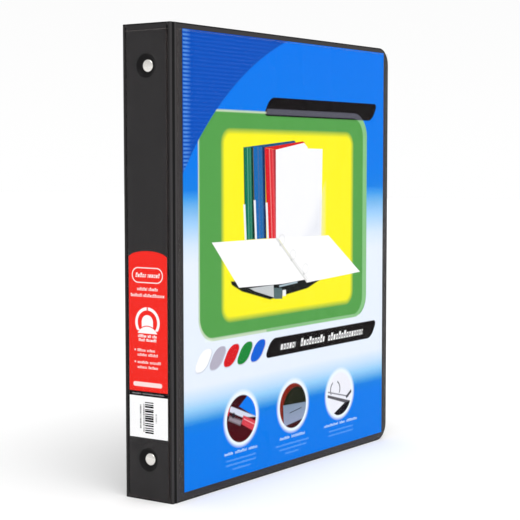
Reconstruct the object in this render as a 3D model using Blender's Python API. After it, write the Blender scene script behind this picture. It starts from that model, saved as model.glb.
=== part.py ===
"""Ring binder with a three-ring mechanism, standing closed on its bottom edge.

Frame: +Z up, the spine's outer face towards -X, the front cover towards -Y.
All dimensions below are in millimetres; meshes are written in metres.
"""

import math

import bmesh
import bpy
from mathutils import Matrix, Vector

MM = 0.001

# ---- driving dimensions (mm) -------------------------------------------------
HEIGHT = 292.1           # 11.5 in, letter binder
SPINE_WIDTH = 38.1       # outside, across both covers at the spine
COVER_DEPTH = 247.3      # spine face to the covers' far edge when parallel
FAN_DEG = 4.0            # each empty cover stands this far off parallel
COVER_CORNER = 12.0      # radius of the covers' two far corners

# layers of a cover panel, as depths below its outer face
FILM = (0.00, 0.20)
PAPER = (0.24, 0.36)
VINYL = (0.40, 0.70)
BOARD = (0.74, 2.49)
LINER = (2.53, 2.83)
POCKET = (2.87, 3.12)
SEAM = (0.74, 1.04)      # liner where it is welded to the outer vinyl

HINGE_DEPTH = 0.72       # middle of the welded hinge strip
SPINE_HALF = 17.60       # half width of the spine panel, weld to weld
COVER_START = 5.10       # cover panel's weld line, from the spine face
WEB_GAP = 0.30           # between hinge strip and panels
BEAD_RISE = 0.75         # how far the hinge bead stands out

WELD = 1.6               # flat weld rim round a panel
BOARD_INSET = 3.9

LABEL_Y = (-15.7, 13.7)
LABEL_Z = (39.0, 151.0, 154.5)   # bottom, shoulders, top of the arch
INSERT_U = (11.7, 241.3)
INSERT_Z = (5.7, 289.0)
POCKET_U = (40.0, 243.3)
POCKET_Z = (4.2, 128.0)

# ring mechanism
MID_Z = HEIGHT / 2
BASE = LINER[1] + 0.06           # underside of the housing
HOUSING_HALF_LENGTH = 134.0
HOUSING_RISE = 6.8
RIVET_Z = 120.6
RIVET_SHANK = 2.3
RING_Z = (-107.95, 0.0, 107.95)  # 4.25 in apart
RING_MID_RADIUS = 13.7
WIRE = 1.2
PIVOT_X = LINER[1] + 3.2
PIVOT_Y = 8.9
LEAF_TILT = 5.0                  # below flat when closed, above when open
LEAF_EDGE = (0.15, 9.35)
LEAF_HALF_LENGTH = 129.8
LEAF_SHEET = 1.0
ROOT_REACH = 3.9                 # ring root, from the leaf's pivot
RING_RISE = 11.87                # ring centre above the leaf pivot
TRIGGER_Z = 131.5
TRIGGER_X = PIVOT_X - 2.08
TAB_ANGLE = 55.0
TAB_LENGTH = 13.5

CENTRE_X = 122.885               # shifts the finished binder onto its middle


# ---- helpers -----------------------------------------------------------------
def clear_scene():
    """Remove whatever the empty start file holds."""
    for obj in list(bpy.data.objects):
        bpy.data.objects.remove(obj, do_unlink=True)
    for mesh in list(bpy.data.meshes):
        bpy.data.meshes.remove(mesh)


def material(name, colour, metallic=0.0, roughness=0.5, alpha=1.0):
    """One Principled material per piece."""
    mat = bpy.data.materials.new(name)
    mat.use_nodes = True
    shader = mat.node_tree.nodes["Principled BSDF"]
    shader.inputs["Base Color"].default_value = (*colour, 1.0)
    shader.inputs["Metallic"].default_value = metallic
    shader.inputs["Roughness"].default_value = roughness
    shader.inputs["Alpha"].default_value = alpha
    return mat


def add_mesh(name, points, faces, mat, smooth=False):
    """Make a mesh object from millimetre points, with outward normals."""
    mesh = bpy.data.meshes.new(name)
    shifted = [((p[0] - CENTRE_X) * MM, p[1] * MM, p[2] * MM) for p in points]
    mesh.from_pydata(shifted, [], faces)
    bm = bmesh.new()
    bm.from_mesh(mesh)
    bmesh.ops.recalc_face_normals(bm, faces=bm.faces)
    for face in bm.faces:
        face.smooth = smooth
    bm.to_mesh(mesh)
    bm.free()
    mesh.materials.append(mat)
    obj = bpy.data.objects.new(name, mesh)
    bpy.context.scene.collection.objects.link(obj)
    return obj


def loft(rings, closed_ends=True):
    """Points and faces that join equal rings of points in order."""
    count = len(rings[0])
    points = [p for ring in rings for p in ring]
    faces = []
    for i in range(len(rings) - 1):
        for j in range(count):
            k = (j + 1) % count
            faces.append((i * count + j, i * count + k, (i + 1) * count + k, (i + 1) * count + j))
    if closed_ends:
        faces.append(tuple(reversed(range(count))))
        faces.append(tuple(range((len(rings) - 1) * count, len(rings) * count)))
    return points, faces


def rounded_loop(low, high, radii, steps=6):
    """Rounded rectangle in a plane; radii go low-low, high-low, high-high, low-high."""
    corners = [
        (low[0], low[1], 180.0, 1, 1),
        (high[0], low[1], 270.0, -1, 1),
        (high[0], high[1], 0.0, -1, -1),
        (low[0], high[1], 90.0, 1, -1),
    ]
    loop = []
    for (a, b, start, sign_a, sign_b), radius in zip(corners, radii):
        radius = max(radius, 0.05)
        for i in range(steps + 1):
            angle = math.radians(start + 90.0 * i / steps)
            loop.append((
                a + sign_a * radius + radius * math.cos(angle),
                b + sign_b * radius + radius * math.sin(angle),
            ))
    return loop


def drill(obj, cutters):
    """Cut closed cutter objects out of a piece."""
    for index, cutter in enumerate(cutters):
        cutter.hide_render = True
        cutter.display_type = "WIRE"
        modifier = obj.modifiers.new(f"cut_{index}", "BOOLEAN")
        modifier.operation = "DIFFERENCE"
        modifier.solver = "EXACT"
        modifier.object = cutter


def bolt_cutter(name, y, z, radius, x_from, x_to, mat, steps=32):
    """Round cutter along X."""
    rings = []
    for x in (x_from, x_to):
        ring = []
        for i in range(steps):
            angle = 2 * math.pi * i / steps
            ring.append((x, y + radius * math.cos(angle), z + radius * math.sin(angle)))
        rings.append(ring)
    return add_mesh(name, *loft(rings), mat)


def box(name, low, high, mat):
    """Axis-aligned box."""
    rings = []
    for z in (low[2], high[2]):
        rings.append([
            (low[0], low[1], z), (high[0], low[1], z), (high[0], high[1], z), (low[0], high[1], z),
        ])
    return add_mesh(name, *loft(rings), mat)


# ---- panel pieces ------------------------------------------------------------
def spine_place(a, b, depth):
    """A point of the spine panel: across, up, and below its outer face."""
    return (depth, a, b)


def cover_place(side):
    """Placement of a cover panel, fanned about its hinge axis; side -1 is the front."""
    angle = math.radians(FAN_DEG) * side
    hinge = Vector((HINGE_DEPTH, side * (SPINE_WIDTH / 2 - HINGE_DEPTH), 0.0))
    turn = Matrix.Rotation(angle, 3, "Z")

    def place(a, b, depth):
        flat = Vector((a, side * (SPINE_WIDTH / 2 - depth), b))
        return tuple(hinge + turn @ (flat - hinge))

    return place


def shell(name, rect, radii, outer, inner, place, mat, top_inset=None):
    """Closed sheet: outer and inner are (inset, depth) profiles, edge to middle."""
    (low_a, high_a), (low_b, high_b) = rect
    profile = list(reversed(outer)) + list(inner)
    rings = []
    for inset, depth in profile:
        top = inset if top_inset is None else top_inset + 0.02 * inset
        loop = rounded_loop(
            (low_a + inset, low_b + inset),
            (high_a - inset, high_b - top),
            [radius - inset for radius in radii],
        )
        rings.append([place(a, b, depth) for a, b in loop])
    return add_mesh(name, *loft(rings), mat)


def panel(prefix, rect, radii, place, mats, with_board_inset=BOARD_INSET):
    """Outer vinyl, board, liner and clear film of one panel."""
    vinyl = shell(
        prefix + "_outer_vinyl", rect, radii,
        [(0.0, VINYL[0] + 0.06), (0.5, VINYL[0])],
        [(0.0, VINYL[1])],
        place, mats["vinyl"],
    )
    inset = with_board_inset
    board = shell(
        prefix + "_board", rect, radii,
        [(inset + 0.2, BOARD[0] + 0.2), (inset + 0.4, BOARD[0])],
        [(inset + 0.2, BOARD[1] - 0.4), (inset + 0.6, BOARD[1])],
        place, mats["board"],
    )
    liner = shell(
        prefix + "_inner_liner", rect, radii,
        [(0.0, SEAM[0]), (WELD + 0.12, SEAM[0]), (inset - 0.35, LINER[0] - 0.35),
         (inset + 0.0, LINER[0])],
        [(0.0, SEAM[1]), (WELD, SEAM[1]), (inset - 0.65, LINER[1] - 0.35), (inset - 0.2, LINER[1])],
        place, mats["liner"],
    )
    film = shell(
        prefix + "_overlay_film", rect, radii,
        [(0.9, FILM[0] + 0.06), (1.3, FILM[0])],
        [(0.9, FILM[1])],
        place, mats["film"], top_inset=4.0,
    )
    return vinyl, board, liner, film


def hinge_web(name, side, mat):
    """Welded strip from the spine, round the corner crease, to the cover, with its bead."""
    corner = SPINE_WIDTH / 2
    half = (SEAM[1] - VINYL[0]) / 2
    angle = math.radians(FAN_DEG)
    hinge = Vector((HINGE_DEPTH, corner - HINGE_DEPTH))
    along = Vector((math.cos(angle), math.sin(angle)))
    out = Vector((-math.sin(angle), math.cos(angle)))
    reach = COVER_START - WEB_GAP - HINGE_DEPTH
    outer = [Vector((HINGE_DEPTH - half, SPINE_HALF + WEB_GAP))]
    outer.append(hinge + Vector((-half, -0.05)))
    outer.append(hinge + Vector((-half * 0.75, half * 0.75)))
    steps = 8
    for i in range(steps + 1):
        t = i / steps
        bulge = half + BEAD_RISE * math.sin(math.pi * t) ** 0.8 if 0 < i < steps else half
        outer.append(hinge + along * (0.35 + t * (reach - 0.35)) + out * bulge)
    inner = [hinge + along * reach - out * half, hinge + along * 0.5 - out * half]
    inner.append(hinge + Vector((half + 0.02, -0.05 - half)))
    inner.append(Vector((HINGE_DEPTH + half, SPINE_HALF + WEB_GAP)))
    section = outer + inner
    rings = []
    for z in (0.4, HEIGHT - 0.4):
        rings.append([(p.x, side * p.y, z) for p in section])
    return add_mesh(name, *loft(rings), mat)


def label_sheet(name, mat):
    """Paper label behind the spine film, with an arched top."""
    low, high = LABEL_Y
    bottom, shoulder, top = LABEL_Z
    outline = [(low, bottom), (high, bottom)]
    steps = 10
    for i in range(steps + 1):
        t = i / steps
        y = high + (low - high) * t
        outline.append((y, shoulder + (top - shoulder) * math.sin(math.pi * t) ** 0.6))
    rings = [[spine_place(a, b, depth) for a, b in outline] for depth in PAPER]
    return add_mesh(name, *loft(rings), mat)


def flat_sheet(name, span_a, span_b, radii, depths, place, mat):
    """Plain sheet with rounded corners."""
    rings = []
    for depth in depths:
        loop = rounded_loop((span_a[0], span_b[0]), (span_a[1], span_b[1]), radii, 4)
        rings.append([place(a, b, depth) for a, b in loop])
    return add_mesh(name, *loft(rings), mat)


# ---- ring mechanism ----------------------------------------------------------
def housing_section():
    """Half outline of the arched steel plate with its rolled rims, mirrored to a whole."""
    outer = [(BASE, 9.4), (BASE + 0.12, 10.3), (BASE + 0.6, 10.85), (BASE + 1.3, 11.0),
             (BASE + 2.0, 10.8), (BASE + 2.6, 10.7)]
    steps = 9
    for i in range(steps + 1):
        angle = math.radians(90.0 * i / steps)
        outer.append((BASE + 3.2 + 3.6 * math.sin(angle), 10.7 * math.cos(angle)))
    inner = []
    for i in range(steps + 1):
        angle = math.radians(90.0 * i / steps)
        inner.append((BASE + 3.2 + 2.8 * math.sin(angle), 9.9 * math.cos(angle)))
    inner.append((BASE + 2.25, 9.85))
    inner.append((BASE + 2.25, 8.9))
    inner.append((BASE + 1.7, 8.6))
    inner.append((BASE + 0.4, 8.75))
    # one closed loop: left outer, right outer, then back along the inside
    right_outer = outer[:-1]
    left_outer = [(x, -y) for x, y in right_outer]
    crown = [(BASE + 3.2 + 3.6, 0.0)]
    right_in = inner[:steps]
    lip = inner[steps + 1:]
    inner_crown = [(BASE + 3.2 + 2.8, 0.0)]
    loop = list(right_outer) + crown + list(reversed(left_outer))
    loop += [(x, -y) for x, y in reversed(lip)]
    loop += [(x, -y) for x, y in right_in] + inner_crown + list(reversed(right_in))
    loop += lip
    return loop


def ring_housing(mats):
    """Arched plate with rim rolls, ring slots, rivet holes and trigger notches."""
    section = housing_section()
    rings = []
    for z in (MID_Z - HOUSING_HALF_LENGTH, MID_Z + HOUSING_HALF_LENGTH):
        rings.append([(x, y, z) for x, y in section])
    housing = add_mesh("ring_housing", *loft(rings), mats["nickel"])
    cutters = []
    for row, offset in enumerate(RING_Z):
        for side in (-1, 1):
            y_in, y_out = sorted((side * 3.2, side * 12.5))
            cutters.append(box(
                f"slot_cutter_{row}_{'r' if side > 0 else 'l'}",
                (PIVOT_X - 0.62, y_in, MID_Z + offset - 1.8),
                (PIVOT_X + 8.0, y_out, MID_Z + offset + 1.8), mats["cutter"],
            ))
    for end in (-1, 1):
        cutters.append(bolt_cutter(
            f"rivet_cutter_{end + 1}", 0.0, MID_Z + end * RIVET_Z, RIVET_SHANK + 0.2,
            BASE + 4.0, BASE + 9.0, mats["cutter"],
        ))
        z_in, z_out = sorted((end * 130.4, end * 136.0))
        cutters.append(box(
            f"notch_cutter_{end + 1}", (BASE + 2.45, -7.4, MID_Z + z_in),
            (BASE + 9.0, 7.4, MID_Z + z_out), mats["cutter"],
        ))
        for side in (-1, 1):
            cutters.append(trunnion(
                f"trunnion_cutter_{end + 1}_{side + 1}", end, 0.78, side * 8.0, side * 10.35,
                mats["cutter"],
            ))
    drill(housing, cutters)
    return housing


def trunnion(name, end, radius, y_from, y_to, mat, steps=20):
    """Round bar along Y on a trigger's axis."""
    rings = []
    for y in sorted((y_from, y_to)):
        ring = []
        for i in range(steps):
            angle = 2 * math.pi * i / steps
            ring.append((
                TRIGGER_X + radius * math.cos(angle), y,
                MID_Z + end * TRIGGER_Z + radius * math.sin(angle),
            ))
        rings.append(ring)
    return add_mesh(name, *loft(rings), mat)


def rivet(name, end, mat):
    """Tubular rivet: domed head on the spine, shank, flared end on the housing."""
    top = BASE + HOUSING_RISE
    profile = [(-0.95, 0.0), (-0.95, 1.0), (-0.85, 2.2), (-0.62, 3.2), (-0.34, 3.9), (-0.04, 4.2),
               (-0.04, RIVET_SHANK), (top + 0.03, RIVET_SHANK), (top + 0.03, 3.3),
               (top + 0.32, 3.5), (top + 0.62, 3.2), (top + 0.7, 2.2), (top + 0.6, 1.5),
               (top - 2.0, 1.3), (top - 2.0, 0.0)]
    steps = 32
    points = []
    faces = []
    starts = []
    for x, radius in profile:
        starts.append(len(points))
        if radius == 0.0:
            points.append((x, 0.0, MID_Z + end * RIVET_Z))
            continue
        for i in range(steps):
            angle = 2 * math.pi * i / steps
            points.append((
                x, radius * math.cos(angle), MID_Z + end * RIVET_Z + radius * math.sin(angle),
            ))
    for index in range(len(profile) - 1):
        first, second = starts[index], starts[index + 1]
        for i in range(steps):
            k = (i + 1) % steps
            if profile[index][1] == 0.0:
                faces.append((first, second + k, second + i))
            elif profile[index + 1][1] == 0.0:
                faces.append((first + i, first + k, second))
            else:
                faces.append((first + i, first + k, second + k, second + i))
    return add_mesh(name, points, faces, mat, smooth=True)


def leaf_frame(side):
    """Direction along the tilted leaf towards the middle, and its upward normal."""
    tilt = math.radians(LEAF_TILT)
    inward = Vector((-math.sin(tilt), -side * math.cos(tilt)))
    upward = Vector((math.cos(tilt), -side * math.sin(tilt)))
    return Vector((PIVOT_X, side * PIVOT_Y)), inward, upward


def leaf_plate(name, side, mats):
    """Long spring-steel leaf, its outer edge in the housing rim, cut away round the rivets."""
    pivot, inward, upward = leaf_frame(side)
    half = LEAF_SHEET / 2
    start = PIVOT_Y - LEAF_EDGE[1]
    end = PIVOT_Y - LEAF_EDGE[0]
    section = [
        (start, -half + 0.15), (start, half - 0.15), (start + 0.15, half), (end - 0.15, half),
        (end, half - 0.15), (end, -half + 0.15), (end - 0.15, -half), (start + 0.15, -half),
    ]
    rings = []
    for z in (-LEAF_HALF_LENGTH, LEAF_HALF_LENGTH):
        ring = []
        for reach, rise in section:
            p = pivot + inward * reach + upward * rise
            ring.append((p.x, p.y, MID_Z + z))
        rings.append(ring)
    leaf = add_mesh(name, *loft(rings), mats["steel"])
    cutters = []
    for end_sign in (-1, 1):
        cutters.append(bolt_cutter(
            f"{name}_relief_{end_sign + 1}", 0.0, MID_Z + end_sign * RIVET_Z, 3.1,
            BASE - 0.5, BASE + 8.0, mats["cutter"],
        ))
    root = pivot + inward * ROOT_REACH
    for row, offset in enumerate(RING_Z):
        cutters.append(bolt_cutter(
            f"{name}_hole_{row}", root.y, MID_Z + offset, 1.05, BASE - 0.5, BASE + 8.0,
            mats["cutter"], 24,
        ))
    drill(leaf, cutters)
    origin_to(leaf, (pivot.x, pivot.y, MID_Z))
    return leaf


def half_ring(name, side, offset, mat):
    """Ring half: staked root, bend over the leaf, arc to the tip. Side -1 has the prong."""
    pivot, inward, upward = leaf_frame(side)
    root = pivot + inward * ROOT_REACH
    half = LEAF_SHEET / 2
    shank = 0.8
    path = []
    for rise, radius in (
        (-half - 0.45, 0.0), (-half - 0.45, 0.7), (-half - 0.35, shank), (half + 0.12, shank),
        (half + 0.12, 1.05), (half + 0.27, WIRE),
    ):
        path.append((root + upward * rise, upward, radius))
    centre = Vector((PIVOT_X + RING_RISE, 0.0))
    join = math.asin(11.0 / RING_MID_RADIUS)
    start = root + upward * (half + 0.5)
    arc_start = centre + Vector((-math.cos(join), side * math.sin(join))) * RING_MID_RADIUS
    tangent = Vector((math.sin(join), side * math.cos(join)))
    one = start + upward * 1.9
    two = arc_start - tangent * 2.4
    steps = 9
    for i in range(steps):
        t = i / steps
        p = (start * (1 - t) ** 3 + one * 3 * t * (1 - t) ** 2
             + two * 3 * t * t * (1 - t) + arc_start * t ** 3)
        d = ((one - start) * 3 * (1 - t) ** 2 + (two - one) * 6 * t * (1 - t)
             + (arc_start - two) * 3 * t * t)
        path.append((p, d.normalized(), WIRE))
    steps = 18
    stop = math.pi - 0.15 / RING_MID_RADIUS
    for i in range(steps + 1):
        angle = join + (stop - join) * i / steps
        p = centre + Vector((-math.cos(angle), side * math.sin(angle))) * RING_MID_RADIUS
        d = Vector((math.sin(angle), side * math.cos(angle)))
        path.append((p, d, WIRE))
    tip, last, _ = path[-1]
    if side < 0:
        path.append((tip, last, 0.55))
        path.append((tip + last * 0.9, last, 0.5))
        path.append((tip + last * 1.05, last, 0.3))
        path.append((tip + last * 1.05, last, 0.0))
    else:
        path.append((tip, last, 0.78))
        path.append((tip - last * 1.5, last, 0.78))
        path.append((tip - last * 1.5, last, 0.0))
    obj = add_mesh(name, *tube(path, MID_Z + offset), mat, smooth=True)
    origin_to(obj, (pivot.x, pivot.y, MID_Z))
    return obj


def tube(path, z, steps=14):
    """Round bar along a path in the plane at height z; radius 0 closes an end."""
    points = []
    faces = []
    starts = []
    for p, direction, radius in path:
        starts.append(len(points))
        if radius == 0.0:
            points.append((p.x, p.y, z))
            continue
        across = Vector((-direction.y, direction.x))
        for i in range(steps):
            angle = 2 * math.pi * i / steps
            q = p + across * (radius * math.cos(angle))
            points.append((q.x, q.y, z + radius * math.sin(angle)))
    for index in range(len(path) - 1):
        first, second = starts[index], starts[index + 1]
        for i in range(steps):
            k = (i + 1) % steps
            if path[index][2] == 0.0:
                faces.append((first, second + k, second + i))
            elif path[index + 1][2] == 0.0:
                faces.append((first + i, first + k, second))
            else:
                faces.append((first + i, first + k, second + k, second + i))
    return points, faces


def trigger(name, end, mats):
    """Opening lever: tongue under the leaves, trunnions in the rims, flared finger tab."""
    tilt = math.radians(TAB_ANGLE)
    along = Vector((math.sin(tilt), math.cos(tilt)))     # x up, z outward
    normal = Vector((math.cos(tilt), -math.sin(tilt)))
    centre = Vector((0.0, 0.0))
    top = [
        (Vector((0.5, -4.2)), 2.0), (Vector((0.5, -1.4)), 2.0), (Vector((0.85, -0.7)), 6.6),
        (normal * 0.62 + along * 1.3, 6.6), (normal * 0.62 + along * 4.5, 6.4),
        (normal * 0.62 + along * (TAB_LENGTH - 3.0), 6.9),
        (normal * 0.2 + along * (TAB_LENGTH - 1.0), 5.9),
        (normal * 0.0 + along * TAB_LENGTH, 4.4),
    ]
    low = [
        (Vector((-0.5, -4.2)), 2.0), (Vector((-0.5, -1.4)), 2.0), (Vector((-0.95, -0.4)), 6.6),
        (normal * -0.62 + along * 0.9, 6.6), (normal * -0.62 + along * 4.5, 6.4),
        (normal * -0.62 + along * (TAB_LENGTH - 3.0), 6.9),
        (normal * -1.0 + along * (TAB_LENGTH - 0.8), 5.9),
        (normal * -1.2 + along * TAB_LENGTH, 4.4),
    ]
    points = []
    for offset, half in top + low:
        p = centre + offset
        for side in (-1, 1):
            points.append((TRIGGER_X + p.x, side * half, MID_Z + end * (TRIGGER_Z + p.y)))
    count = len(top)

    def at(row, index, side):
        return (row * count + index) * 2 + side

    faces = []
    for i in range(count - 1):
        faces.append((at(0, i, 0), at(0, i, 1), at(0, i + 1, 1), at(0, i + 1, 0)))
        faces.append((at(1, i, 0), at(1, i + 1, 0), at(1, i + 1, 1), at(1, i, 1)))
        for side in (0, 1):
            faces.append((at(0, i, side), at(0, i + 1, side), at(1, i + 1, side), at(1, i, side)))
    for i in (0, count - 1):
        faces.append((at(0, i, 0), at(1, i, 0), at(1, i, 1), at(0, i, 1)))
    body = add_mesh(name, points, faces, mats["nickel"])
    bar = trunnion(f"{name}_bar", end, 0.6, -10.1, 10.1, mats["cutter"])
    bar.hide_render = True
    bar.display_type = "WIRE"
    modifier = body.modifiers.new("trunnions", "BOOLEAN")
    modifier.operation = "UNION"
    modifier.solver = "EXACT"
    modifier.object = bar
    origin_to(body, (TRIGGER_X, 0.0, MID_Z + end * TRIGGER_Z))
    return body


def origin_to(obj, point):
    """Move an object's origin to a point on its joint axis, the mesh staying put."""
    target = Vector(((point[0] - CENTRE_X) * MM, point[1] * MM, point[2] * MM))
    obj.data.transform(Matrix.Translation(-target))
    obj.location = target


# ---- the binder --------------------------------------------------------------
def build():
    clear_scene()
    black = (0.045, 0.045, 0.047)
    mats = {
        "cutter": material("cutter", (1.0, 0.0, 1.0)),
        "nickel": material("nickel_plate", (0.72, 0.72, 0.70), 1.0, 0.25),
        "steel": material("leaf_steel", (0.55, 0.55, 0.54), 1.0, 0.35),
        "pocket": material("pocket_vinyl", (0.055, 0.055, 0.058), 0.0, 0.45),
    }

    def panel_mats(prefix):
        return {
            "vinyl": material(prefix + "_vinyl", black, 0.0, 0.45),
            "board": material(prefix + "_board", (0.42, 0.34, 0.24), 0.0, 0.9),
            "liner": material(prefix + "_liner", (0.05, 0.05, 0.052), 0.0, 0.5),
            "film": material(prefix + "_film", (0.9, 0.9, 0.9), 0.0, 0.15, 0.25),
        }

    # spine panel
    spine_rect = ((-SPINE_HALF, SPINE_HALF), (0.0, HEIGHT))
    spine = panel(
        "spine", spine_rect, (1.2, 1.2, 1.2, 1.2), spine_place, panel_mats("spine"), 2.0,
    )
    for index, sheet in enumerate(spine):
        cutters = []
        for end in (-1, 1):
            radius = 7.2 if index == 3 else RIVET_SHANK + 0.25
            cutters.append(bolt_cutter(
                f"spine_cutter_{index}_{end + 1}", 0.0, MID_Z + end * RIVET_Z, radius,
                -2.0, 4.0, mats["cutter"],
            ))
        drill(sheet, cutters)
    label_sheet("spine_label", material("label_paper", (0.80, 0.05, 0.04), 0.0, 0.5))

    # covers
    span = ((COVER_START, COVER_DEPTH), (0.0, HEIGHT))
    radii = (1.0, COVER_CORNER, COVER_CORNER, 1.0)
    for side, prefix in ((-1, "front"), (1, "back")):
        place = cover_place(side)
        pieces = list(panel(prefix, span, radii, place, panel_mats(prefix)))
        pieces.append(flat_sheet(
            prefix + "_inner_pocket", POCKET_U, POCKET_Z,
            (1.0, COVER_CORNER - 4.0, 0.5, 0.5), POCKET, place, mats["pocket"],
        ))
        if side < 0:
            pieces.append(flat_sheet(
                "front_insert_sheet", INSERT_U, INSERT_Z, (0.5, 3.0, 3.0, 0.5), PAPER, place,
                material("insert_paper", (0.05, 0.2, 0.8), 0.0, 0.4),
            ))
        axis = (HINGE_DEPTH, side * (SPINE_WIDTH / 2 - HINGE_DEPTH), MID_Z)
        for piece in pieces:
            origin_to(piece, axis)
        hinge_web(prefix + "_hinge_web", side, material(prefix + "_web", black, 0.0, 0.45))

    # ring mechanism
    ring_housing(mats)
    rivet("rivet_bottom", -1, material("rivet_bottom", (0.85, 0.84, 0.82), 1.0, 0.2))
    rivet("rivet_top", 1, material("rivet_top", (0.85, 0.84, 0.82), 1.0, 0.2))
    wire = material("ring_wire", (0.78, 0.78, 0.77), 1.0, 0.18)
    for side, word in ((-1, "left"), (1, "right")):
        leaf_plate(f"leaf_plate_{word}", side, mats)
        for row, offset in enumerate(RING_Z):
            half_ring(f"half_ring_{word}_{row + 1}", side, offset, wire)
    trigger("trigger_bottom", -1, mats)
    trigger("trigger_top", 1, mats)


build()
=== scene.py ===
"""Looks for the ring binder: vinyl panels, clear film, print, label, hinges and ring metal.

Lengths are millimetres in the spine frame, as in the CAD: x from the spine's outer face
inwards, y across the spine (front cover at -y), z up. metres() turns them into the row frame.
"""

import math

import bmesh
import bpy
from mathutils import Matrix, Vector


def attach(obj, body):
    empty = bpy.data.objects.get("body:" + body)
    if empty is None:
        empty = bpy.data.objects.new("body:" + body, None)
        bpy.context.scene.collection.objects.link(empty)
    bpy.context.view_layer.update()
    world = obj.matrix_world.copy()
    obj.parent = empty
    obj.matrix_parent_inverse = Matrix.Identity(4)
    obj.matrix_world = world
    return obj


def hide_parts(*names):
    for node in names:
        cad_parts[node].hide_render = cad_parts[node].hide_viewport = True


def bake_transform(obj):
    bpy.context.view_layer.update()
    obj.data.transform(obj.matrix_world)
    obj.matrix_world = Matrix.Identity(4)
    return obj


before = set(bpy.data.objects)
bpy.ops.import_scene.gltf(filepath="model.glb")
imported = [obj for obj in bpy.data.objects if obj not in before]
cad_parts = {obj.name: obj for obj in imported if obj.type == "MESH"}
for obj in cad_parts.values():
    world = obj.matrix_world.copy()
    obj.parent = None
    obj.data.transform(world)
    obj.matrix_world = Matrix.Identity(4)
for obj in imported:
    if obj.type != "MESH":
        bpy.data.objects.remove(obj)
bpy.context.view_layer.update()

# ---- the CAD's dimensions ----
MM = 0.001
CENTRE_X = 122.885
HEIGHT = 292.1
SPINE_WIDTH = 38.1
SPINE_HALF = 17.6
COVER_DEPTH = 247.3
COVER_START = 5.1
COVER_CORNER = 12.0
COVERS = ((-1, "front"), (1, "back"))
FAN_DEG = 4.0
HINGE_DEPTH = 0.72
BEND_X = (0.7, 2.7)
BEND_Y = 18.33
MID_Z = HEIGHT / 2
RIVET_Z = 120.6
HOUSING_TOP = 9.69
RING_Z = (-107.95, 0.0, 107.95)
RING_RADIUS = 13.7
RING_RISE = 11.87
WIRE_RADIUS = 1.2
ROOT_REACH = 3.9
LEG_HALF_GAP = 11.0
TIP_HALF_GAP = 0.15
TIP_BEVEL = 0.12
PIVOT = (6.03, 8.9)
LEAF_TILT = 5.0
INSERT_SIZE = (229.6, 283.3)

# The print's places, moved up to 0.8 mm from the CAD's to lie as in the photograph.
INSERT_CORNER = (10.9, 5.4)
LABEL_CORNER = (14.4, 39.0)
LABEL_SHIFT = 0.7


def metres(point):
    """A spine-frame point in millimetres as a row-frame point in metres."""
    return Vector(((point[0] - CENTRE_X) * MM, point[1] * MM, point[2] * MM))


def spine_place(a, b, depth):
    """Spine panel: a across, b up, depth below the outer face."""
    return (depth, a, b)


def cover_place(side):
    """Cover panel, fanned about its hinge: a from the spine, b up; side -1 is the front."""
    hinge = Vector((HINGE_DEPTH, side * (SPINE_WIDTH / 2 - HINGE_DEPTH), 0.0))
    turn = Matrix.Rotation(math.radians(FAN_DEG) * side, 3, "Z")

    def place(a, b, depth):
        flat = Vector((a, side * (SPINE_WIDTH / 2 - depth), b))
        return tuple(hinge + turn @ (flat - hinge))

    return place


# ---- shader nodes ----
def rgb(red, green, blue):
    """A screen colour, 0 to 255, as linear numbers."""
    def linear(value):
        value /= 255.0
        return value / 12.92 if value <= 0.04045 else ((value + 0.055) / 1.055) ** 2.4
    return (linear(red), linear(green), linear(blue), 1.0)


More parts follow.
